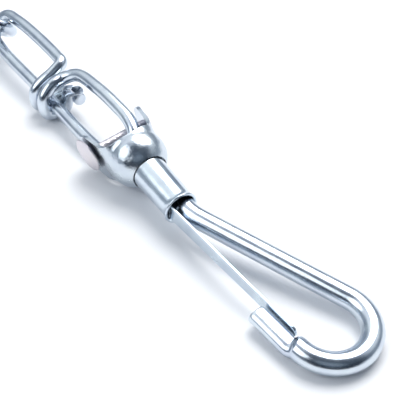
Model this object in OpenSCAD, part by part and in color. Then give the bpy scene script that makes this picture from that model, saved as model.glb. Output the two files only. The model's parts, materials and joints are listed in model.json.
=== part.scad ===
// Swing chain: double-loop steel links with a swivel spring snap at each end.
// X runs along the first snap towards its hook, Z is up, and the chain lies on Z = 0.
// The origin is at the middle of the footprint.

/* [Chain] */
// Diameter of the chain wire
chain_wire = 4.5; // [3.8:0.1:5.4]
// Width inside a link's wide loop
wide_loop_w = 10.7; // [9.5:0.1:13.5]
// Width inside a link's narrow loop
narrow_loop_w = 7.9; // [6.4:0.1:9.5]
// Reach of the wide loop, from the knot to the middle of its end wire
wide_loop_len = 46; // [40:1:56]
// Reach of the narrow loop, from the knot to the middle of its end wire
narrow_loop_len = 46; // [36:1:56]
// Clearance between the end wires of two linked loops
link_slack = 2; // [1.6:0.1:2.4]

/* [Swivel cup] */
// Outside diameter of the cup's dome
cup_d = 19; // [18:0.5:24]
// Thickness of the cup's metal
cup_wall = 1.2; // [1:0.1:1.6]
// Radius of an ear around the rivet
ear_r = 5.8; // [4:0.1:6.6]
// Distance from the dome's centre to the rivet
rivet_reach = 12; // [11:0.5:15]

/* [Rivet] */
// Diameter of the rivet's shank
rivet_d = 3.4; // [2.8:0.1:3.6]
// Diameter of the rivet's pressed head
rivet_head_d = 11.4; // [9:0.2:12]
// Thickness of the rivet's pressed head
rivet_head_t = 1.4; // [1:0.1:2]
// Diameter of the rivet's closed tail
rivet_tail_d = 7.2; // [6:0.2:8]

/* [Sleeve] */
// Outside diameter of the sleeve where it leaves the cup
sleeve_top_d = 11.1; // [10.5:0.1:12]
// Outside diameter of the sleeve at its mouth
sleeve_mouth_d = 10.2; // [9.8:0.1:11]
// Thickness of the sleeve's metal
sleeve_wall = 0.6; // [0.4:0.05:0.7]
// Distance from the dome's centre to the sleeve's mouth
sleeve_mouth_x = 25.5; // [22:0.5:34]

/* [Hook] */
// Diameter of the hook wire
hook_wire = 6.4; // [5:0.1:6.6]
// Angle between the hook's shank and the sleeve
shank_angle = 22.2; // [18:0.1:26]
// Length of the shank, from its bend at the sleeve to the bow
shank_len = 51; // [40:0.5:70]
// Radius of the bow, to the middle of the wire
bow_r = 11.2; // [10:0.1:14]
// Length of the flattened nose
nose_len = 15; // [10:0.5:18]
// Height of the flattened nose
nose_h = 4; // [3:0.1:5]
// Width of the flattened nose
nose_w = 5.2; // [4:0.1:6.4]

/* [Latch] */
// Thickness of the spring leaf
leaf_t = 0.8; // [0.5:0.05:1]
// Width of the spring leaf
leaf_w = 4.8; // [3.5:0.1:5]

/* [Hidden] */
$fn = 64;

zinc = "#c9d3de";
zinc_dark = "#9fb0c0";

// Clearance of a part that turns, and of parts that only lie together
turn_gap = 0.4;
rest_gap = 0.3;
fit_gap = 0.05;

// Lean of each link's loops out of the ground plane, and of the two cups' rivets
lean = [48, 135, 45, 45, 135, 48];
cup_lean = 9.5;

// Sides of the swept wires
link_sides = 10;
hook_sides = 16;

// ---- sweeps -------------------------------------------------------------

function unit(v) = v / norm(v);
function tangent(p, i) = unit(p[min(i + 1, len(p) - 1)] - p[max(i - 1, 0)]);
function square_to(v, t) = unit(v - (v * t) * t);

// Side vectors carried along the path without twist, starting from one side vector
function carried(p, start) = [
    for (i = 0, n = square_to(start, tangent(p, 0)); i < len(p);
        i = i + 1, n = i < len(p) ? square_to(n, tangent(p, i)) : n) n];

// A tube along the points p. size holds each ring's half width across and along its side vector.
module swept_wire(p, size, sides, start) {
    side = carried(p, start);
    rings = [for (i = [0:len(p) - 1]) let (t = tangent(p, i), s = side[i], c = cross(t, s))
        for (k = [0:sides - 1]) let (a = 360 * (k + 0.5) / sides)
            p[i] + size[i][1] * cos(a) * s + size[i][0] * sin(a) * c];
    last = (len(p) - 1) * sides;
    walls = [for (i = [0:len(p) - 2]) for (k = [0:sides - 1])
        let (a = i * sides + k, b = i * sides + (k + 1) % sides)
            each [[a, a + sides, b], [b, a + sides, b + sides]]];
    caps = [[for (k = [0:sides - 1]) k], [for (k = [sides - 1:-1:0]) last + k]];
    polyhedron(points = rings, faces = concat(walls, caps));
}

// A smooth curve through the waypoints w, each [point, steps to the next one]
function knot_time(a, b) = pow(norm(b - a), 0.5);
function through(a, b, c, d, s) = let (
    t1 = knot_time(a, b), t2 = t1 + knot_time(b, c), t3 = t2 + knot_time(c, d), t = t1 + s * (t2 - t1),
    ab = a * (t1 - t) / t1 + b * t / t1,
    bc = b * (t2 - t) / (t2 - t1) + c * (t - t1) / (t2 - t1),
    cd = c * (t3 - t) / (t3 - t2) + d * (t - t2) / (t3 - t2),
    abc = ab * (t2 - t) / t2 + bc * t / t2,
    bcd = bc * (t3 - t) / (t3 - t1) + cd * (t - t1) / (t3 - t1))
    abc * (t2 - t) / (t2 - t1) + bcd * (t - t1) / (t2 - t1);
function smooth(w) = let (n = len(w) - 1) [
    for (i = [0:n - 1]) let (
        a = i == 0 ? 2 * w[0][0] - w[1][0] : w[i - 1][0],
        d = i == n - 1 ? 2 * w[n][0] - w[n - 1][0] : w[i + 2][0])
        for (k = [0:w[i][1] - 1]) through(a, w[i][0], w[i + 1][0], d, k / w[i][1]),
    w[n][0]];

// ---- chain link ---------------------------------------------------------
// One wire. Its continuous leg runs along -Y; both ends wrap once round that leg at the knot
// and finish as stubs inside the wide loop, which is on the +X side.

wrap_r = 0.96 * chain_wire;
wide_y = (wide_loop_w + chain_wire) / 2;
narrow_y = (narrow_loop_w + chain_wire) / 2;
leg_y = -(wide_y + narrow_y) / 2;
wide_end_r = 0.415 * wide_loop_w + chain_wire / 2;

function in_wires(x, y, z) = [x, y, z] * chain_wire;
function on_leg(x, y, z) = in_wires(x, y, z) + [0, leg_y, 0];

link_path = smooth([
    // stub of the wide loop's end, and its wrap round the leg
    [on_leg(3.2, 2.25, 0.65), 1],
    [on_leg(2.0, 1.6, 0.2), 1],
    [on_leg(1.4, 0.95, -0.5), 2],
    [on_leg(1.15, 0, 0) - [0, 0, wrap_r], 3],
    [on_leg(1.0, 0, 0) - [0, wrap_r, 0], 3],
    [on_leg(0.85, 0, 0) + [0, 0, wrap_r], 2],
    [on_leg(0.72, 1.15, 0.85), 2],
    [[0.72 * chain_wire, wide_y - 1.2 * chain_wire, 0.25 * chain_wire], 2],
    [[1.6 * chain_wire, wide_y - 0.3 * chain_wire, 0], 2],
    // wide loop
    [[0.4 * wide_loop_len, wide_y, 0], 2],
    [[wide_loop_len - 2.6 * wide_end_r, wide_y, 0], 2],
    [[wide_loop_len - 1.05 * wide_end_r, wide_end_r, 0], 3],
    [[wide_loop_len - 0.3 * wide_end_r, 0.66 * wide_end_r, 0], 2],
    [[wide_loop_len, 0, 0], 2],
    [[wide_loop_len - 0.3 * wide_end_r, -0.66 * wide_end_r, 0], 3],
    [[wide_loop_len - 1.05 * wide_end_r, -wide_end_r, 0], 2],
    [[wide_loop_len - 2.6 * wide_end_r, -wide_y, 0], 2],
    // straight leg past the knot, and narrow loop
    [[0, leg_y, 0], 2],
    [[-narrow_loop_len + 1.6 * narrow_y, -narrow_y, 0], 2],
    [[-narrow_loop_len + 0.35 * narrow_y, -0.75 * narrow_y, 0], 3],
    [[-narrow_loop_len, 0, 0], 3],
    [[-narrow_loop_len + 0.35 * narrow_y, 0.75 * narrow_y, 0], 2],
    [[-narrow_loop_len + 1.6 * narrow_y, narrow_y, 0], 2],
    [[-1.5 * chain_wire, narrow_y, 0], 2],
    // sharp turn into the cross bar, its wrap round the leg, and the low stub
    [[-0.62 * chain_wire, narrow_y - 0.12 * chain_wire, 0.1 * chain_wire], 2],
    [[-0.36 * chain_wire, narrow_y - 0.8 * chain_wire, 0.4 * chain_wire], 2],
    [on_leg(-0.45, 0, 0) + [0, 0, wrap_r], 3],
    [on_leg(-0.45, 0, 0) - [0, wrap_r, 0], 3],
    [on_leg(-0.4, 0, 0) - [0, 0, wrap_r], 2],
    [on_leg(0.05, 0.95, -1.2), 2],
    [on_leg(1.1, 1.25, -1.2), 1],
    [on_leg(2.1, 1.35, -1.1), 1]]);

module chain_link() {
    r = chain_wire / 2;
    last = len(link_path) - 1;
    size = [for (i = [0:last]) i == 0 ? [0.75 * r, 1.05 * r] : [r, r]];
    color(zinc) swept_wire(link_path, size, link_sides, [0, 0, 1]);
}

// ---- swivel snap --------------------------------------------------------
// Local frame: X along the snap towards the hook, origin at the centre of the cup's dome.

cup_r = cup_d / 2;
cup_in_r = cup_r - cup_wall;
cup_rim_x = -0.16 * cup_r;
cup_hole_r = sleeve_top_d / 2 + turn_gap;
ear_in = (wide_y + wide_end_r) / 2 * cos(lean[0] - cup_lean) + chain_wire / 2 + rest_gap;
ear_out = ear_in + cup_wall;
ear_front_x = -rivet_reach;

module around_x() rotate([0, 90, 0]) children();
module around_y() rotate([-90, 0, 0]) children();

ear_root_h = 7;

module ear_blank() {
    hull() {
        translate([ear_front_x, 0, 0]) around_y() cylinder(r = ear_r, h = ear_out, $fn = 48);
        translate([0, 0, -ear_root_h / 2]) cube([1, ear_out, ear_root_h]);
    }
}

// The cup and its ears, with the hole for the sleeve cut along the hook's own axis.
// The spheres' poles lie inside that hole.
module swivel_cup() {
    color(zinc) difference() {
        union() {
            intersection() {
                around_x() sphere(r = cup_r, $fn = 96);
                translate([cup_rim_x, -cup_r, -cup_r]) cube([2 * cup_r, 2 * cup_r, 2 * cup_r]);
            }
            ear_blank();
            mirror([0, 1, 0]) ear_blank();
        }
        around_x() sphere(r = cup_in_r, $fn = 96);
        translate([-3 * rivet_reach, -ear_in, -cup_r]) cube([3 * rivet_reach + cup_rim_x, 2 * ear_in, 2 * cup_r]);
        translate([ear_front_x, -cup_d, 0]) around_y() cylinder(r = rivet_d / 2 + fit_gap, h = 2 * cup_d);
        tilted_hook() around_x() cylinder(r = cup_hole_r, h = cup_d);
    }
}

rivet_neck = 0.1;

module rivet() {
    head_y = ear_out + rivet_neck;
    color(zinc) translate([ear_front_x, 0, 0]) rotate([90, 0, 0]) rotate_extrude() polygon([
        [0, -ear_out - rivet_neck - 1], [rivet_tail_d / 2 - 0.4, -ear_out - rivet_neck - 1],
        [rivet_tail_d / 2, -ear_out - rivet_neck - 0.6], [rivet_tail_d / 2, -ear_out - rivet_neck],
        [rivet_d / 2, -ear_out - rivet_neck], [rivet_d / 2, head_y],
        [rivet_head_d / 2 - 0.3, head_y], [rivet_head_d / 2, head_y + 0.5 * rivet_head_t],
        [rivet_head_d / 2 - 0.5, head_y + rivet_head_t], [0, head_y + rivet_head_t]]);
}

// Sleeve: a tapered tube with a rolled lip at its mouth and a flange kept inside the dome
sleeve_in_r = sleeve_mouth_d / 2 - sleeve_wall;
flange_r = cup_hole_r + 1;
flange_x = sqrt(pow(cup_in_r - turn_gap, 2) - pow(flange_r, 2));
flange_t = 0.9;
lip_r = 0.35;

module sleeve() {
    color(zinc) around_x() rotate_extrude() {
        polygon([
            [sleeve_in_r, flange_x - flange_t], [flange_r, flange_x - flange_t], [flange_r, flange_x],
            [sleeve_top_d / 2, flange_x], [sleeve_top_d / 2, cup_r + 0.5],
            [sleeve_mouth_d / 2, sleeve_mouth_x - 1.2], [sleeve_mouth_d / 2, sleeve_mouth_x - 2 * lip_r],
            [sleeve_mouth_d / 2 + lip_r, sleeve_mouth_x - 1.4 * lip_r],
            [sleeve_mouth_d / 2 + lip_r, sleeve_mouth_x - 0.5 * lip_r],
            [sleeve_mouth_d / 2, sleeve_mouth_x], [sleeve_in_r, sleeve_mouth_x]]);
    }
}

// Hook wire, beside the leaf in the sleeve
wire_r = hook_wire / 2;
wire_y = sleeve_in_r - wire_r - fit_gap;
washer_t = 0.8;
washer_x = flange_x - flange_t - washer_t - fit_gap;
head_t = 1.4;
stack_gap = 0.1;
head_x = washer_x - head_t - stack_gap;
head_r = wire_r + 1.1;

module retaining_washer() {
    color(zinc_dark) around_x() difference() {
        translate([0, 0, washer_x]) cylinder(r = flange_r - 1, h = washer_t);
        translate([0, wire_y, washer_x - 1]) cylinder(r = wire_r + fit_gap, h = washer_t + 2);
    }
}

// Bend at the sleeve's mouth, bow and nose, in the hook's own plane
bend_r = 14;
bend_x = sleeve_mouth_x + 1 + bend_r * tan(shank_angle / 2);
bend_at = [bend_x, wire_y];
bow_at = bend_at + shank_len * [cos(shank_angle), sin(shank_angle)]
    + bow_r * [sin(shank_angle), -cos(shank_angle)];
nose_angle = 5;
nose_dir = [-cos(nose_angle), -sin(nose_angle)];
nose_out = [sin(nose_angle), -cos(nose_angle)];
bow_end = bow_at + bow_r * [sin(nose_angle), -cos(nose_angle)];
nose_jog = 0.9;
nose_drop = (hook_wire - nose_h) / 2;
jog_len = 2.4;

bend_steps = 5;
bow_steps = 22;
hook_flat = concat(
    [[head_x, wire_y], [head_x + head_t, wire_y], [washer_x - stack_gap / 2, wire_y]],
    [for (i = [0:bend_steps]) let (a = shank_angle * i / bend_steps)
        bend_at + bend_r * [sin(a) - tan(shank_angle / 2), 1 - cos(a)]],
    [for (i = [0:bow_steps])
        let (a = 90 + shank_angle - (180 + shank_angle - nose_angle) * i / bow_steps)
            bow_at + bow_r * [cos(a), sin(a)]],
    [bow_end + 0.5 * nose_dir, bow_end + jog_len * nose_dir + nose_jog * nose_out,
        bow_end + nose_len * nose_dir + nose_jog * nose_out]);

module hook() {
    last = len(hook_flat) - 1;
    points = [for (i = [0:last]) [hook_flat[i][0], hook_flat[i][1], i > last - 2 ? -nose_drop : 0]];
    size = [for (i = [0:last]) i < 2 ? [head_r, head_r] : i > last - 2 ? [nose_w / 2, nose_h / 2] : [wire_r, wire_r]];
    color(zinc) swept_wire(points, size, hook_sides, [0, 0, 1]);
}

// Spring leaf: a strip from the sleeve to the nose. It flexes at the sleeve's mouth, so its
// clamped root and its free length are two solids that meet at the flexing line.
leaf_clear = 1;
root_y = wire_y - wire_r - leaf_clear - leaf_t;
leaf_start = [sleeve_mouth_x - 0.6, root_y + leaf_t / 2];
leaf_end = bow_end + 3.2 * nose_dir + (nose_jog - nose_w / 2 - rest_gap - leaf_t / 2) * nose_out;
leaf_angle = atan2(leaf_end[1] - leaf_start[1], leaf_end[0] - leaf_start[0]);
leaf_len = norm(leaf_end - leaf_start);
flex_gap = 0.3;

module latch_root() {
    color(zinc_dark) translate([flange_x - flange_t, root_y, -leaf_w / 2])
        cube([leaf_start[0] - flex_gap - flange_x + flange_t, leaf_t, leaf_w]);
}

module latch_leaf() {
    color(zinc) translate([leaf_start[0], leaf_start[1], 0]) rotate([0, 0, leaf_angle])
        translate([0, leaf_t / 2, 0]) rotate([90, 0, 0]) linear_extrude(leaf_t) union() {
            translate([0.3, -leaf_w / 2]) square([leaf_len - leaf_w / 2 - 0.3, leaf_w]);
            translate([leaf_len - leaf_w / 2, 0]) circle(d = leaf_w);
        }
}

// ---- lay of the parts ---------------------------------------------------
// The hook droops from the dome until its bow rests; the rivet leans with the cup.
cup_lift = 0.8;
cup_z = cup_r + cup_lift;
hook_droop = asin((cup_z - wire_r) / (bow_at[0] + bow_r));

module tilted_hook() rotate([0, hook_droop, 0]) children();

// Direction in which the chain runs away from the first snap at each link
run = [183.4, 211.4, 243.4, 275.4, 308.4, 341.4];
second_snap_dir = 341.4;
link_count = 6;
first_half = link_count / 2;

function dir(a) = [cos(a), sin(a)];
pivot_back = (chain_wire + link_slack) / 2;
wide_pivot = wide_loop_len - pivot_back;
narrow_pivot = narrow_loop_len - pivot_back;
rivet_in_link = wide_loop_len - wide_end_r;

// Lengths from the near pivot to a link's knot and from the knot to the far pivot
function near_len(i) = i == 0 ? rivet_in_link : i < first_half ? wide_pivot : narrow_pivot;
function far_len(i) = i == link_count - 1 ? rivet_in_link : i < first_half ? narrow_pivot : wide_pivot;

rivet_a = [-rivet_reach, 0];
pivots = [for (i = 0, p = rivet_a; i <= link_count;
    p = i < link_count ? p + (near_len(i) + far_len(i)) * dir(run[i]) : p, i = i + 1) p];
dome_b = pivots[link_count] + rivet_reach * dir(second_snap_dir);

// Heights of the links' middles at the knot and at the pivots
wrap_reach = wrap_r + chain_wire / 2;
function resting_z(i) = wrap_reach - leg_y * sin(lean[i]);
rivet_in_link_share = near_len(0) / (near_len(0) + far_len(0));
knot_rise = (resting_z(0) - cup_z) / rivet_in_link_share;
pivot_z = [cup_z, cup_z + knot_rise, resting_z(2), resting_z(2), resting_z(3), cup_z + knot_rise, cup_z];

hook_tip_x = cos(hook_droop) * (bow_at[0] + bow_r) + wire_r;
turn_out = 5.3;
turn_x = pivots[first_half][0] - turn_out;
top_y = bow_at[1] + bow_r + wire_r;
low_y = dome_b[1] + bow_at * [sin(second_snap_dir), cos(second_snap_dir)] - bow_r - wire_r;
middle = [(hook_tip_x + turn_x) / 2, (top_y + low_y) / 2];

module on_ground() translate([-middle[0], -middle[1], 0]) children();

module link_at(i) {
    rise = pivot_z[i + 1] - pivot_z[i];
    pitch = asin(rise / (near_len(i) + far_len(i)));
    knot = pivots[i] + near_len(i) * dir(run[i]) * cos(pitch);
    flip = i < first_half ? 180 : 0;
    sign = i < first_half ? 1 : -1;
    on_ground() translate([knot[0], knot[1], pivot_z[i] + near_len(i) * sin(pitch)])
        rotate([0, 0, run[i] + flip]) rotate([0, sign * pitch, 0]) rotate([lean[i], 0, 0]) chain_link();
}

module snap_a() on_ground() translate([0, 0, cup_z]) children();
module snap_b() on_ground() translate([dome_b[0], dome_b[1], cup_z]) rotate([0, 0, second_snap_dir]) children();
module leaning() rotate([cup_lean, 0, 0]) children();

link_at(0);  // link_1
link_at(1);  // link_2
link_at(2);  // link_3
link_at(3);  // link_4
link_at(4);  // link_5
link_at(5);  // link_6
snap_a() leaning() swivel_cup();  // swivel_cup_a
snap_a() leaning() rivet();  // rivet_a
snap_a() tilted_hook() sleeve();  // sleeve_a
snap_a() tilted_hook() retaining_washer();  // retaining_washer_a
snap_a() tilted_hook() hook();  // hook_a
snap_a() tilted_hook() latch_root();  // latch_root_a
snap_a() tilted_hook() latch_leaf();  // latch_leaf_a
snap_b() leaning() swivel_cup();  // swivel_cup_b
snap_b() leaning() rivet();  // rivet_b
snap_b() tilted_hook() sleeve();  // sleeve_b
snap_b() tilted_hook() retaining_washer();  // retaining_washer_b
snap_b() tilted_hook() hook();  // hook_b
snap_b() tilted_hook() latch_root();  // latch_root_b
snap_b() tilted_hook() latch_leaf();  // latch_leaf_b
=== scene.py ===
import json
import math

import bpy
import numpy as np
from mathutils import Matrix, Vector, noise


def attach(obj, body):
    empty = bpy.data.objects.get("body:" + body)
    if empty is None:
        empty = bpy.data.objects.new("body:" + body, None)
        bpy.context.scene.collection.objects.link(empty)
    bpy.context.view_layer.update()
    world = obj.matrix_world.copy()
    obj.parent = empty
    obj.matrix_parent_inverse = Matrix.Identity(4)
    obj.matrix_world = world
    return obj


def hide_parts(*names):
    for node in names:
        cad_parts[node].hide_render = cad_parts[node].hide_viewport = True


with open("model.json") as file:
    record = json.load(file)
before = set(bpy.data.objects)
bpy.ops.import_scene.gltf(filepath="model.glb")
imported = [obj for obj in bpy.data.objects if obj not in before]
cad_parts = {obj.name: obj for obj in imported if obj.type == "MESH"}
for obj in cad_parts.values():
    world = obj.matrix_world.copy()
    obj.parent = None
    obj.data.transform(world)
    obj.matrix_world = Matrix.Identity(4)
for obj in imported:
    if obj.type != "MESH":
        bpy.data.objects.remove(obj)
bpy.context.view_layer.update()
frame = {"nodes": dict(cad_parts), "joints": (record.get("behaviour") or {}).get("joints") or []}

MM = 0.001

# ---- places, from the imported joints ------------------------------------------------
joint_at = {j["name"]: np.array(j["pos_m"], float) / MM for j in frame["joints"]}


def turn_x(deg):
    a = math.radians(deg)
    return np.array([[1, 0, 0], [0, math.cos(a), -math.sin(a)], [0, math.sin(a), math.cos(a)]])


def turn_y(deg):
    a = math.radians(deg)
    return np.array([[math.cos(a), 0, math.sin(a)], [0, 1, 0], [-math.sin(a), 0, math.cos(a)]])


def turn_z(deg):
    a = math.radians(deg)
    return np.array([[math.cos(a), -math.sin(a), 0], [math.sin(a), math.cos(a), 0], [0, 0, 1]])


# ---- sizes in mm, as in the CAD ----------------------------------------------------
WIRE = 4.5
WIDE_Y, NARROW_Y = 7.6, 6.2
WIDE_LEN, NARROW_LEN = 46.0, 46.0
WIDE_END = 6.6905
LEG_Y = -(WIDE_Y + NARROW_Y) / 2
WRAP = 0.96 * WIRE
PIVOT_BACK = (WIRE + 2.0) / 2
LEAN = (48, 135, 45, 45, 135, 48)
SNAP_HEADING = {"a": 0.0, "b": 341.4}    # degrees about the upright
CUP_LEAN = 9.5
DROOP = 4.43107
CUP_R, CUP_WALL = 9.5, 1.2
SHOULDER = 6.0                          # length over which the round dome becomes flat ears
CUP_CHAMFER = 0.18
FLARE = math.tan(math.radians(7.3))     # the ears splay outwards behind the dome
FLARE_FROM = -5.0
EAR_OUT, EAR_R = 9.34, 6.3
RIVET_X, RIVET_R = -12.0, 1.7
RIVET_HEAD_R, RIVET_TAIL_R = 5.7, 3.6
HOOK_R = 3.2
SLEEVE_TOP_R, SLEEVE_MOUTH_R, SLEEVE_IN_R = 5.55, 5.1, 4.5
FLANGE_R = 6.9
MOUTH_X, FLANGE_X = 25.5, 3.75
SHANK_DEG, SHANK_LEN, BEND_R, BOW_R = 22.2, 51.0, 14.0, 11.2
NOSE_LEN, NOSE_DEG, NOSE_JOG, JOG_LEN = 15.0, 5.0, 0.9, 2.4
LEAF_T, LEAF_W = 0.8, 4.8


# ---- meshes ------------------------------------------------------------------------
def unit(v):
    return v / np.linalg.norm(v)


def through(a, b, c, d, s):
    t1 = np.linalg.norm(b - a) ** 0.5
    t2 = t1 + np.linalg.norm(c - b) ** 0.5
    t3 = t2 + np.linalg.norm(d - c) ** 0.5
    t = t1 + s * (t2 - t1)
    ab = a * (t1 - t) / t1 + b * t / t1
    bc = b * (t2 - t) / (t2 - t1) + c * (t - t1) / (t2 - t1)
    cd = c * (t3 - t) / (t3 - t2) + d * (t - t2) / (t3 - t2)
    abc = ab * (t2 - t) / t2 + bc * t / t2
    bcd = bc * (t3 - t) / (t3 - t1) + cd * (t - t1) / (t3 - t1)
    return abc * (t2 - t) / (t2 - t1) + bcd * (t - t1) / (t2 - t1)


def smooth(points, steps):
    p = [np.array(q, float) for q in points]
    out = []
    for i in range(len(p) - 1):
        a = 2 * p[0] - p[1] if i == 0 else p[i - 1]
        d = 2 * p[-1] - p[-2] if i == len(p) - 2 else p[i + 2]
        out += [through(a, p[i], p[i + 1], d, k / steps) for k in range(steps)]
    return np.array(out + [p[-1]])


def tangents(p):
    t = np.empty_like(p)
    t[1:-1] = p[2:] - p[:-2]
    t[0], t[-1] = p[1] - p[0], p[-1] - p[-2]
    return t / np.linalg.norm(t, axis=1)[:, None]


def carried(p, start):
    t = tangents(p)
    side = [unit(start - (start @ t[0]) * t[0])]
    for i in range(1, len(p)):
        side.append(unit(side[-1] - (side[-1] @ t[i]) * t[i]))
    return t, np.array(side)


def build(name, verts, faces, uvs=None, smooth_deg=40):
    mesh = bpy.data.meshes.new(name)
    mesh.from_pydata([tuple(v) for v in np.asarray(verts) * MM], [], faces)
    mesh.update()
    mesh.validate()
    if uvs is not None:
        layer = mesh.uv_layers.new(name="along")
        loops = np.empty(len(mesh.loops), np.int32)
        mesh.loops.foreach_get("vertex_index", loops)
        layer.data.foreach_set("uv", np.asarray(uvs, np.float32)[loops].ravel())
    mesh.shade_smooth()
    mesh.set_sharp_from_angle(angle=math.radians(smooth_deg))
    ob = bpy.data.objects.new(name, mesh)
    bpy.context.collection.objects.link(ob)
    return ob


def swept(name, p, section, start, place, sides=24):
    """Tube along p. section(i, angle) gives the offset across and along the side vector."""
    t, side = carried(p, np.array(start, float))
    length = np.concatenate([[0], np.cumsum(np.linalg.norm(np.diff(p, axis=0), axis=1))])
    verts, uvs, faces = [], [], []
    for i in range(len(p)):
        across = np.cross(t[i], side[i])
        for k in range(sides + 1):
            a = 2 * math.pi * k / sides
            u, v = section(i, a)
            verts.append(p[i] + u * across + v * side[i])
            uvs.append((k / sides, length[i] * 0.1))
    n = sides + 1
    for i in range(len(p) - 1):
        for k in range(sides):
            a = i * n + k
            faces.append((a, a + n, a + n + 1, a + 1))
    for ring, flip in ((0, False), (len(p) - 1, True)):
        loop = [ring * n + k for k in range(sides)]
        faces.append(tuple(loop[::-1] if flip else loop))
    verts = place(np.array(verts))
    ob = build(name, verts, faces, uvs)
    weld = ob.modifiers.new("seam", "WELD")
    weld.merge_threshold = 1e-6
    return ob


def rounded_ends(p, radius, edge):
    """Doubles the last rings so that a cut end gets a small rounded edge."""
    t = tangents(p)
    first = [p[0], p[0] + t[0] * edge * 0.35, p[0] + t[0] * edge]
    last = [p[-1] - t[-1] * edge, p[-1] - t[-1] * edge * 0.35, p[-1]]
    clear = edge * 1.3
    body = [q for q in p[1:-1]
            if np.linalg.norm(q - p[0]) > clear and np.linalg.norm(q - p[-1]) > clear]
    out = np.array(first + body + last)
    scale = np.ones(len(out))
    inset = edge / radius
    scale[[0, -1]] = 1 - inset
    scale[[1, -2]] = 1 - 0.3 * inset
    return out, scale


# ---- chain links -------------------------------------------------------------------
def on_leg(x, y, z, shift=(0, 0, 0)):
    return (x * WIRE + shift[0], y * WIRE + LEG_Y + shift[1], z * WIRE + shift[2])


LINK_ROUTE = [
    on_leg(3.2, 2.25, 0.65), on_leg(2.0, 1.6, 0.2), on_leg(1.4, 0.95, -0.5),
    on_leg(1.15, 0, 0, (0, 0, -WRAP)), on_leg(1.0, 0, 0, (0, -WRAP, 0)),
    on_leg(0.85, 0, 0, (0, 0, WRAP)),
    on_leg(0.72, 1.15, 0.85), (0.72 * WIRE, WIDE_Y - 1.2 * WIRE, 0.25 * WIRE),
    (1.6 * WIRE, WIDE_Y - 0.3 * WIRE, 0), (0.4 * WIDE_LEN, WIDE_Y, 0),
    (WIDE_LEN - 2.6 * WIDE_END, WIDE_Y, 0), (WIDE_LEN - 1.05 * WIDE_END, WIDE_END, 0),
    (WIDE_LEN - 0.3 * WIDE_END, 0.66 * WIDE_END, 0), (WIDE_LEN, 0, 0),
    (WIDE_LEN - 0.3 * WIDE_END, -0.66 * WIDE_END, 0),
    (WIDE_LEN - 1.05 * WIDE_END, -WIDE_END, 0), (WIDE_LEN - 2.6 * WIDE_END, -WIDE_Y, 0), (0, LEG_Y, 0),
    (-NARROW_LEN + 1.6 * NARROW_Y, -NARROW_Y, 0), (-NARROW_LEN + 0.35 * NARROW_Y, -0.75 * NARROW_Y, 0),
    (-NARROW_LEN, 0, 0), (-NARROW_LEN + 0.35 * NARROW_Y, 0.75 * NARROW_Y, 0),
    (-NARROW_LEN + 1.6 * NARROW_Y, NARROW_Y, 0), (-1.5 * WIRE, NARROW_Y, 0),
    (-0.62 * WIRE, NARROW_Y - 0.12 * WIRE, 0.1 * WIRE),
    (-0.36 * WIRE, NARROW_Y - 0.8 * WIRE, 0.4 * WIRE),
    on_leg(-0.45, 0, 0, (0, 0, WRAP)), on_leg(-0.45, 0, 0, (0, -WRAP, 0)),
    on_leg(-0.4, 0, 0, (0, 0, -WRAP)),
    on_leg(0.05, 0.95, -1.2), on_leg(1.1, 1.25, -1.2), on_leg(2.1, 1.35, -1.1)]


def link(i):
    pivots = [joint_at["rivet_hinge_a"]] + [joint_at[f"chain_pivot_{k}"] for k in range(1, 6)]
    pivots.append(joint_at["rivet_hinge_b"])
    p, q = pivots[i], pivots[i + 1]
    first_half = i < 3
    wide_reach, narrow_reach = WIDE_LEN - PIVOT_BACK, NARROW_LEN - PIVOT_BACK
    near = wide_reach if first_half else narrow_reach
    far = narrow_reach if first_half else wide_reach
    near = WIDE_LEN - WIDE_END if i == 0 else near
    far = WIDE_LEN - WIDE_END if i == 5 else far
    run = math.degrees(math.atan2(q[1] - p[1], q[0] - p[0]))
    pitch = math.asin((q[2] - p[2]) / (near + far))
    ahead = np.array([math.cos(math.radians(run)), math.sin(math.radians(run)), 0])
    knot = p + near * ahead * math.cos(pitch)
    knot[2] = p[2] + near * math.sin(pitch)
    sign = 1 if first_half else -1
    heading = run + (180 if first_half else 0)
    turn = turn_z(heading) @ turn_y(sign * math.degrees(pitch)) @ turn_x(LEAN[i])
    path, scale = rounded_ends(smooth(LINK_ROUTE, 9), WIRE / 2, 0.35)
    from_start = np.concatenate([[0], np.cumsum(np.linalg.norm(np.diff(path, axis=0), axis=1))])
    seed = Vector((11.3 * i, 4.1, 2.7))

    def section(k, a):
        flat = max(0.0, 1 - from_start[k] / 9.0)
        r = WIRE / 2 * scale[k]
        around = Vector((from_start[k] * 0.16, math.cos(a) * 1.3, math.sin(a) * 1.3))
        r *= 1 + 0.012 * noise.noise(seed + around)
        return r * (1 - 0.3 * flat) * math.cos(a), r * (1 + 0.08 * flat) * math.sin(a)

    ob = swept(f"formed_link_{i + 1}", path, section, (0, 0, 1), lambda v: v @ turn.T + knot)
    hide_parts(f"link_{i + 1}")
    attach(ob, f"link_{i + 1}")
    return ob


# ---- snap --------------------------------------------------------------------------
def snap_frame(s):
    return joint_at[f"swivel_{s}"], turn_z(SNAP_HEADING[s])


def revolve(name, profile, axis_turn, place, segments=96, uv_scale=0.1):
    verts, uvs, faces = [], [], []
    n = segments + 1
    walk = 0.0
    for i, (x, r) in enumerate(profile):
        if i:
            walk += math.hypot(x - profile[i - 1][0], r - profile[i - 1][1])
        for k in range(n):
            a = 2 * math.pi * k / segments
            verts.append((x, r * math.cos(a), r * math.sin(a)))
            uvs.append((k / segments, walk * uv_scale))
    for i in range(len(profile) - 1):
        for k in range(segments):
            a = i * n + k
            faces.append((a, a + 1, a + n + 1, a + n))
    verts = place(np.array(verts) @ axis_turn.T)
    ob = build(name, verts, faces, uvs, 35)
    weld = ob.modifiers.new("seam", "WELD")
    weld.merge_threshold = 1e-6
    return ob


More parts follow.
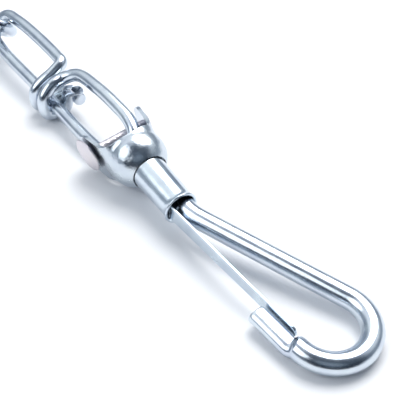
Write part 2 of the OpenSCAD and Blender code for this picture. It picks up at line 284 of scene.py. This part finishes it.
def arc(cx, cr, radius, start, stop, steps):
    angles = [math.radians(start + (stop - start) * k / steps) for k in range(steps + 1)]
    return [(cx + radius * math.cos(a), cr + radius * math.sin(a)) for a in angles]


# The cup's outline: where the metal ends behind the dome, by angle up from the ears' middle.
# Angles are for an ear that ends at EAR_AT; round_cup moves them to the ear's real edge.
EAR_AT = 37.6
RIM_B = (37.6, 38.0, 38.6, 39.5, 41, 43, 46, 50, 55, 61, 68, 75, 82.5, 90)
RIM_X = (-12.0, -10.6, -9.2, -7.6, -6.0, -4.8, -3.8, -3.1, -2.6, -2.3, -2.0, -1.7, -1.55, -1.5)
BETAS = (0, 5, 10, 15, 20, 24, 28, 31, 33.5, 35.3, 36.5, 37.2, 37.6, 38.0, 38.6, 39.5, 41, 43,
         46, 50, 55, 61, 68, 75, 82.5)


EDGE = math.degrees(math.asin(EAR_R / CUP_R))      # where the ear ends and the rim begins


def round_cup(b):
    return b * EDGE / EAR_AT if b <= EAR_AT else EDGE + (b - EAR_AT) * (90 - EDGE) / (90 - EAR_AT)


def cup(s):
    centre, heading = snap_frame(s)
    turn = heading @ turn_x(CUP_LEAN)
    hole = math.degrees(math.asin((SLEEVE_TOP_R + 0.4) / CUP_R))
    turns = [round_cup(b) for b in BETAS]
    rim_at = [round_cup(b) for b in RIM_B]
    ring = turns + [90] + [180 - b for b in turns[::-1]]
    ring += [180 + b for b in turns[1:]] + [270] + [360 - b for b in turns[:0:-1]]
    dome_rows, back_rows = 22, 22
    in_r = CUP_R - CUP_WALL
    hole_in = math.degrees(math.asin((SLEEVE_TOP_R + 0.4) / in_r))

    def on_dome(radius, start, k, c, z_dir):
        phi = math.radians(start + (90 - start) * k / dome_rows)
        point = radius * np.array([math.cos(phi), math.sin(phi) * c, math.sin(phi) * z_dir])
        return turn_y(DROOP * (1 - k / dome_rows)) @ point

    def on_back(depth, x, c, z_dir):
        """A point of the wall behind the dome's widest ring, depth mm in from its outside."""
        w = min(1.0, -x / SHOULDER)
        w = w * w * (3 - 2 * w)
        flared = EAR_OUT - depth + FLARE * max(0.0, FLARE_FROM - x)
        y = abs(c) * (CUP_R - depth) * (1 - w) + flared * w
        z = z_dir * ((CUP_R - depth) * (1 - w) + CUP_R * w)
        return np.array([x, math.copysign(y, c), z])

    verts, faces = [], []
    for theta in ring:
        c, z_dir = math.cos(math.radians(theta)), math.sin(math.radians(theta))
        beta = math.degrees(math.asin(min(1.0, abs(z_dir))))
        if beta < EDGE:
            end = RIVET_X - math.sqrt(max(0.0, EAR_R ** 2 - (CUP_R * z_dir) ** 2))
        else:
            end = float(np.interp(beta, rim_at, RIM_X))
            end += 0.3 * math.sin(math.radians(3 * theta + 40)) * min(1, max(0, (beta - 45) / 20))
        xs = [(end + CUP_CHAMFER) * k / back_rows for k in range(1, back_rows + 1)]
        column = [on_dome(CUP_R, hole, k, c, z_dir) for k in range(dome_rows + 1)]
        column += [on_back(0, x, c, z_dir) for x in xs]
        column += [on_back(CUP_CHAMFER, end, c, z_dir),
                   on_back(CUP_WALL - CUP_CHAMFER, end, c, z_dir)]
        column += [on_back(CUP_WALL, x, c, z_dir) for x in xs[::-1]]
        column += [on_dome(in_r, hole_in, k, c, z_dir) for k in range(dome_rows, -1, -1)]
        for point in column:
            n = unit(np.array([max(point[0], 0), point[1], point[2]]))
            q = Vector((point[0] * 0.23 + 3.1, point[1] * 0.23, point[2] * 0.23))
            dent = 0.15 * noise.noise(q) + 0.055 * noise.noise(q * 2.7) + 0.02 * noise.noise(q * 6)
            off_axis = math.hypot(point[1], point[2])
            from_hole = max(0.0, min(1.0, (off_axis - 6.2) / 1.5)) if point[0] > 0 else 1.0
            fade = from_hole * (1.0 if point[0] > -6 else max(0.0, 1 - (-point[0] - 6) / 4))
            verts.append(point + n * (dent - 0.05) * fade)
    rows = len(verts) // len(ring)
    count = len(ring)
    for i in range(count):
        j = (i + 1) % count
        for k in range(rows):
            up = (k + 1) % rows
            faces.append((i * rows + k, i * rows + up, j * rows + up, j * rows + k))
    ob = build(f"formed_cup_{s}", np.array(verts) @ turn.T + centre, faces, None, 60)
    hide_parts(f"swivel_cup_{s}")
    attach(ob, f"snap_cup_{s}")
    return ob


def rivet(s):
    centre, heading = snap_frame(s)
    turn = heading @ turn_x(CUP_LEAN)
    reach = EAR_OUT + FLARE * (FLARE_FROM - RIVET_X) + 0.08
    head = reach + 0.35
    tail = -reach
    profile = [(tail - 0.25, 0.0), (tail - 0.28, 1.5), (tail - 0.5, 2.1), (tail - 0.95, 2.4),
               (tail - 1.12, 2.75), (tail - 1.08, 3.15), (tail - 0.8, 3.48),
               (tail - 0.4, RIVET_TAIL_R), (tail, 3.45), (tail, RIVET_R), (reach - 0.3, RIVET_R),
               (reach - 0.05, 2.6), (head, 3.0), (head + 0.25, 3.6), (head + 0.35, 5.1),
               (head + 0.5, 5.55), (head + 0.75, RIVET_HEAD_R), (head + 1.0, 5.62), (head + 1.16, 5.3),
               (head + 1.2, 4.8), (head + 1.22, 3.0), (head + 1.2, 0.0)]
    to_pin = np.array([[0, 1, 0], [-1, 0, 0], [0, 0, 1.0]])
    at = np.array([RIVET_X, 0, 0])

    def seated(v):
        """Head and tail tip with their ear; the shank between them stays straight."""
        v = v.copy()
        beyond = np.clip((np.abs(v[:, 1]) - reach + 0.3) / 0.2, 0, 1)
        side = np.sign(v[:, 1])
        v[:, 1] -= side * v[:, 0] * FLARE * beyond
        return (v + at) @ turn.T + centre

    ob = revolve(f"formed_rivet_{s}", profile, to_pin, seated, 64)
    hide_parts(f"rivet_{s}")
    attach(ob, f"snap_cup_{s}")
    return ob


def sleeve(s):
    centre, heading = snap_frame(s)
    turn = heading @ turn_y(DROOP)
    lip = 0.42
    profile = [(FLANGE_X - 0.9, SLEEVE_IN_R), (FLANGE_X - 0.9, FLANGE_R), (FLANGE_X, FLANGE_R),
               (FLANGE_X + 0.6, 5.75),
               (FLANGE_X + 1.2, SLEEVE_TOP_R)]
    taper = SLEEVE_TOP_R - SLEEVE_MOUTH_R
    profile += [(CUP_R - 1 + k * 3.7, SLEEVE_TOP_R - taper * k / 4) for k in range(5)]
    profile += [(MOUTH_X - 1.35, SLEEVE_MOUTH_R)]
    profile += arc(MOUTH_X - lip, SLEEVE_MOUTH_R - 0.02, lip, 130, -60, 8)
    profile += [(MOUTH_X - 0.4, SLEEVE_IN_R + 0.06), (MOUTH_X - 2.5, SLEEVE_IN_R),
                (FLANGE_X - 0.9, SLEEVE_IN_R)]
    ob = revolve(f"formed_sleeve_{s}", profile, np.eye(3), lambda v: v @ turn.T + centre)
    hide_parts(f"sleeve_{s}")
    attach(ob, f"snap_hook_{s}")
    return ob


WIRE_Y = SLEEVE_IN_R - HOOK_R - 0.05


def cross2(deg):
    a = math.radians(deg)
    return np.array([math.cos(a), math.sin(a)])


bend_at = np.array([MOUTH_X + 1 + BEND_R * math.tan(math.radians(SHANK_DEG / 2)), WIRE_Y])
bow_at = bend_at + SHANK_LEN * cross2(SHANK_DEG) + BOW_R * cross2(SHANK_DEG - 90)
nose_dir = -cross2(NOSE_DEG)
nose_out = cross2(NOSE_DEG - 90)
bow_end = bow_at + BOW_R * nose_out


def hook(s):
    centre, heading = snap_frame(s)
    turn = heading @ turn_y(DROOP)
    flat = [np.array([x, WIRE_Y]) for x in np.arange(0.9, MOUTH_X, 1.2)]
    for k in range(11):
        a = SHANK_DEG * k / 10
        along = math.sin(math.radians(a)) - math.tan(math.radians(SHANK_DEG / 2))
        flat.append(bend_at + BEND_R * np.array([along, 1 - math.cos(math.radians(a))]))
    start = flat[-1]
    stop = bow_at + BOW_R * cross2(90 + SHANK_DEG)
    flat += [start + (stop - start) * k / 30 for k in range(1, 30)]
    sweep = 180 + SHANK_DEG - NOSE_DEG
    flat += [bow_at + BOW_R * cross2(90 + SHANK_DEG - sweep * k / 60) for k in range(61)]
    bow_last = len(flat) - 1
    for k in range(1, 31):
        d = NOSE_LEN * k / 30
        jog = min(1.0, d / JOG_LEN)
        jog = jog * jog * (3 - 2 * jog)
        flat.append(bow_end + d * nose_dir + NOSE_JOG * jog * nose_out)
    path = np.array([[x, y, 0] for x, y in flat])
    seed = Vector((5.2, 1.7, 9.1))

    def section(k, a):
        c, z = math.cos(a), math.sin(a)          # across = in plane, side = up
        d = (k - bow_last) / 30 * NOSE_LEN
        ox, oz = HOOK_R * c, HOOK_R * z
        wob = 1 + 0.008 * noise.noise(seed + Vector((k * 0.09, c, z)))
        ox, oz = ox * wob, oz * wob
        if d > 0.4:
            m = min(1.0, (d - 0.4) / 1.5)
            m = m * m * (3 - 2 * m)
            outward = c > 0
            half_out, half_in, half_z, drop = 2.8, 2.5, 2.2, -1.0
            nx = half_out * c if outward else half_in * -abs(c) ** 0.42
            nz = half_z * (math.copysign(abs(z) ** (0.9 if outward else 0.72), z)) + drop
            ox, oz = ox * (1 - m) + nx * m, oz * (1 - m) + nz * m
            end = max(0.0, (d - NOSE_LEN + 0.35) / 0.35)
            ox, oz = ox * (1 - 0.07 * end), (oz - drop) * (1 - 0.08 * end) + drop if m >= 1 else oz
        return ox, oz

    # section() is written with its first axis pointing out of the bow; this turns it round
    # where the sweep carries that axis the other way
    def flipped(k, a):
        u, v = section(k, math.pi - a)
        return -u, v

    probe_t, probe_s = carried(path, np.array([0, 0, 1.0]))
    outward = np.cross(probe_t[-1], probe_s[-1])[:2] @ nose_out > 0
    ob = swept(f"formed_hook_{s}", path, section if outward else flipped, (0, 0, 1),
               lambda v: v @ turn.T + centre, 32)
    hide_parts(f"hook_{s}")
    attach(ob, f"snap_hook_{s}")
    return ob


ROOT_Y = WIRE_Y - HOOK_R - 1 - LEAF_T
leaf_start = np.array([MOUTH_X - 0.6, ROOT_Y + LEAF_T / 2])
leaf_end = bow_end + 3.2 * nose_dir + (NOSE_JOG - 2.6 - 0.3 - LEAF_T / 2) * nose_out


def leaf(s):
    centre, heading = snap_frame(s)
    turn = heading @ turn_y(DROOP)
    along = unit(leaf_end - leaf_start)
    length = np.linalg.norm(leaf_end - leaf_start)
    normal = np.array([-along[1], along[0]])
    steps, side_steps = 60, 8
    verts, uvs, faces = [], [], []
    outline = []
    for k in range(steps + 1):
        d = 0.3 + (length - 0.3) * k / steps
        half = (LEAF_W + 0.5) / 2 - 0.5 * min(1, d / 30)
        tip = length - d
        if tip < half:
            half = math.sqrt(max(0.0, half ** 2 - (half - tip) ** 2))
        outline.append((d, max(half, 0.02)))
    n = 4 * side_steps
    for d, half in outline:
        for k in range(n):
            a = 2 * math.pi * (k + 0.5) / n
            u = math.copysign(abs(math.cos(a)) ** 0.18, math.cos(a)) * half
            v = math.copysign(abs(math.sin(a)) ** 0.45, math.sin(a)) * LEAF_T / 2
            q = leaf_start + along * d + normal * v
            verts.append((q[0], q[1], u))
            uvs.append((u / LEAF_W, d * 0.1))
    for i in range(steps):
        for k in range(n):
            a, b = i * n + k, i * n + (k + 1) % n
            faces.append((a, a + n, b + n, b))
    faces.append(tuple(range(n)))
    faces.append(tuple(steps * n + k for k in range(n - 1, -1, -1)))
    ob = build(f"formed_leaf_{s}", np.array(verts) @ turn.T + centre, faces, uvs, 50)
    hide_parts(f"latch_leaf_{s}")
    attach(ob, f"snap_latch_{s}")
    return ob


# ---- materials ---------------------------------------------------------------------
def plated(name, colour, rough, streaks=True, grain=1.0, knurl=False):
    mat = bpy.data.materials.new(name)
    mat.use_nodes = True
    nt = mat.node_tree
    nt.nodes.clear()
    new = nt.nodes.new
    wire = nt.links.new
    out = new("ShaderNodeOutputMaterial")
    bsdf = new("ShaderNodeBsdfPrincipled")
    bsdf.inputs["Metallic"].default_value = 1.0
    wire(bsdf.outputs[0], out.inputs[0])
    coord = new("ShaderNodeTexCoord")

    # cloudy plating: slow change of tint and gloss
    cloud = new("ShaderNodeTexNoise")
    cloud.inputs["Scale"].default_value = 160
    cloud.inputs["Detail"].default_value = 4
    wire(coord.outputs["Object"], cloud.inputs["Vector"])
    tint = new("ShaderNodeValToRGB")
    tint.color_ramp.elements[0].position = 0.32
    tint.color_ramp.elements[1].position = 0.68
    tint.color_ramp.elements[0].color = (*[c * 0.86 for c in colour[:2]], colour[2] * 0.92, 1)
    tint.color_ramp.elements[1].color = (*[min(1, c * 1.05) for c in colour], 1)
    wire(cloud.outputs["Fac"], tint.inputs["Fac"])

    # pits and specks of the plating
    specks = new("ShaderNodeTexNoise")
    specks.inputs["Scale"].default_value = 1500
    specks.inputs["Detail"].default_value = 3
    wire(coord.outputs["Object"], specks.inputs["Vector"])

    height = specks.outputs["Fac"]
    if streaks:
        stretch = new("ShaderNodeMapping")
        stretch.inputs["Scale"].default_value = (34, 1.4, 1)
        wire(coord.outputs["UV"], stretch.inputs["Vector"])
        lines = new("ShaderNodeTexNoise")
        lines.inputs["Scale"].default_value = 1.0
        lines.inputs["Detail"].default_value = 5
        wire(stretch.outputs[0], lines.inputs["Vector"])
        mix = new("ShaderNodeMath")
        mix.operation = "MULTIPLY_ADD"
        mix.inputs[1].default_value = 1.6
        wire(lines.outputs["Fac"], mix.inputs[0])
        wire(specks.outputs["Fac"], mix.inputs[2])
        height = mix.outputs[0]
    if knurl:
        dots = new("ShaderNodeTexVoronoi")
        dots.inputs["Scale"].default_value = 1100
        wire(coord.outputs["Object"], dots.inputs["Vector"])
        mix = new("ShaderNodeMath")
        mix.operation = "MULTIPLY_ADD"
        mix.inputs[1].default_value = 4.0
        wire(dots.outputs["Distance"], mix.inputs[0])
        wire(height, mix.inputs[2])
        height = mix.outputs[0]
    bump = new("ShaderNodeBump")
    bump.inputs["Strength"].default_value = 0.22 * grain
    bump.inputs["Distance"].default_value = 0.00006
    wire(height, bump.inputs["Height"])
    wire(bump.outputs[0], bsdf.inputs["Normal"])

    gloss = new("ShaderNodeMapRange")
    gloss.inputs["From Min"].default_value = 0.3
    gloss.inputs["From Max"].default_value = 0.7
    gloss.inputs["To Min"].default_value = rough * 0.75
    gloss.inputs["To Max"].default_value = rough * 1.5
    wire(cloud.outputs["Fac"], gloss.inputs["Value"])
    wire(gloss.outputs[0], bsdf.inputs["Roughness"])
    wire(tint.outputs[0], bsdf.inputs["Base Color"])
    return mat


wire_zinc = plated("wire_zinc", (0.63, 0.69, 0.735), 0.17)
cup_zinc = plated("cup_zinc", (0.60, 0.66, 0.70), 0.2, streaks=False, grain=3.0)
sleeve_zinc = plated("sleeve_zinc", (0.64, 0.71, 0.76), 0.16, streaks=False, grain=0.8)
leaf_zinc = plated("leaf_zinc", (0.66, 0.74, 0.79), 0.2)
rivet_zinc = plated("rivet_zinc", (0.70, 0.665, 0.68), 0.36, streaks=False, grain=2.4, knurl=True)
# painted shade: a darker, rougher copy of the zinc for the washer and latch root that sit inside the
# cup and sleeve
inner_zinc_painted_shade = plated("inner_zinc_painted_shade", (0.5, 0.56, 0.62), 0.3, streaks=False)

for i in range(6):
    link(i).data.materials.append(wire_zinc)
for s in "ab":
    cup(s).data.materials.append(cup_zinc)
    rivet(s).data.materials.append(rivet_zinc)
    sleeve(s).data.materials.append(sleeve_zinc)
    hook(s).data.materials.append(wire_zinc)
    leaf(s).data.materials.append(leaf_zinc)
    # the parts inside the cup and sleeve get the darker zinc, as painted shade
    for node in (f"retaining_washer_{s}", f"latch_root_{s}"):
        frame["nodes"][node].data.materials.clear()
        frame["nodes"][node].data.materials.append(inner_zinc_painted_shade)

# ---- stage -------------------------------------------------------------------------
floor_mesh = bpy.data.meshes.new("floor")
half = 3.0
corners = [(-half, -half, 0), (half, -half, 0), (half, half, 0), (-half, half, 0)]
floor_mesh.from_pydata(corners, [], [(0, 1, 2, 3)])
floor = bpy.data.objects.new("floor", floor_mesh)
floor.location.z = -0.00005
bpy.context.collection.objects.link(floor)
paper = bpy.data.materials.new("paper")
paper.use_nodes = True
paper.node_tree.nodes["Principled BSDF"].inputs["Base Color"].default_value = (0.93, 0.93, 0.94, 1)
paper.node_tree.nodes["Principled BSDF"].inputs["Roughness"].default_value = 0.9
floor_mesh.materials.append(paper)

world = bpy.data.worlds.new("studio")
bpy.context.scene.world = world
world.use_nodes = True
nt = world.node_tree
back = nt.nodes["Background"]
coord = nt.nodes.new("ShaderNodeTexCoord")


def studio_ramp(direction, stops):
    """Brightness of the studio walls by the cosine between a direction and a fixed one."""
    dot = nt.nodes.new("ShaderNodeVectorMath")
    dot.operation = "DOT_PRODUCT"
    dot.inputs[1].default_value = unit(np.array(direction, float))
    nt.links.new(coord.outputs["Generated"], dot.inputs[0])
    shifted = nt.nodes.new("ShaderNodeMapRange")
    shifted.inputs["From Min"].default_value = -1
    shifted.inputs["From Max"].default_value = 1
    nt.links.new(dot.outputs["Value"], shifted.inputs["Value"])
    ramp = nt.nodes.new("ShaderNodeValToRGB")
    while len(ramp.color_ramp.elements) < len(stops):
        ramp.color_ramp.elements.new(0.5)
    for element, (cosine, colour) in zip(ramp.color_ramp.elements, stops):
        element.position = (cosine + 1) / 2
        element.color = (*colour, 1)
    nt.links.new(shifted.outputs[0], ramp.inputs["Fac"])
    return ramp.outputs[0]


ROOM_SIDE = (0.70, -0.36, 0.62)      # the open, unlit side of the studio
height = studio_ramp((0, 0, 1), [
    (-1, (0.8, 0.84, 0.9)), (0.02, (0.60, 0.66, 0.74)), (0.22, (0.26, 0.31, 0.37)),
    (0.45, (0.42, 0.48, 0.55)), (0.62, (1.0, 1.05, 1.1)), (1, (1.15, 1.2, 1.25))])
room = studio_ramp(ROOM_SIDE, [
    (-1, (1.0, 1.0, 1.0)), (0.25, (1.0, 1.0, 1.0)), (0.52, (0.50, 0.53, 0.58)),
    (0.68, (0.10, 0.12, 0.15)), (0.9, (0.07, 0.085, 0.11)), (0.97, (0.2, 0.24, 0.28)),
    (1, (0.25, 0.28, 0.33))])
both = nt.nodes.new("ShaderNodeMix")
both.data_type = "RGBA"
both.blend_type = "MULTIPLY"
both.inputs["Factor"].default_value = 1
colours = [i for i in both.inputs if i.type == "RGBA"]
nt.links.new(height, colours[0])
nt.links.new(room, colours[1])
nt.links.new([o for o in both.outputs if o.type == "RGBA"][0], back.inputs["Color"])
back.inputs["Strength"].default_value = 1.0


def area(name, place, target, size, power, colour=(1, 1, 1)):
    data = bpy.data.lights.new(name, "AREA")
    data.shape = "DISK"
    data.size = size
    data.energy = power
    data.color = colour
    ob = bpy.data.objects.new(name, data)
    ob.location = place
    ob.rotation_euler = (Vector(target) - Vector(place)).to_track_quat("-Z", "Y").to_euler()
    bpy.context.collection.objects.link(ob)
    return ob


dome = joint_at["swivel_a"] * MM
aim = Vector(dome + np.array([0.0227, 0.0112, -0.0096]))
area("key", tuple(aim + Vector((-0.35, 0.55, 1.1))), aim, 1.1, 15, (1, 0.99, 0.98))
area("fill", tuple(aim + Vector((-0.2, -1.1, 1.0))), aim, 1.2, 7, (0.94, 0.97, 1))

camera_data = bpy.data.cameras.new("camera")
camera_data.sensor_width = 36
camera_data.lens = 65.8
camera_data.clip_start = 0.01
camera = bpy.data.objects.new("camera", camera_data)
camera.location = dome + np.array([0.1648, -0.0847, 0.1503])
camera.rotation_euler = (aim - camera.location).to_track_quat("-Z", "Y").to_euler()
bpy.context.collection.objects.link(camera)
bpy.context.scene.camera = camera
bpy.context.scene.view_settings.view_transform = "Standard"
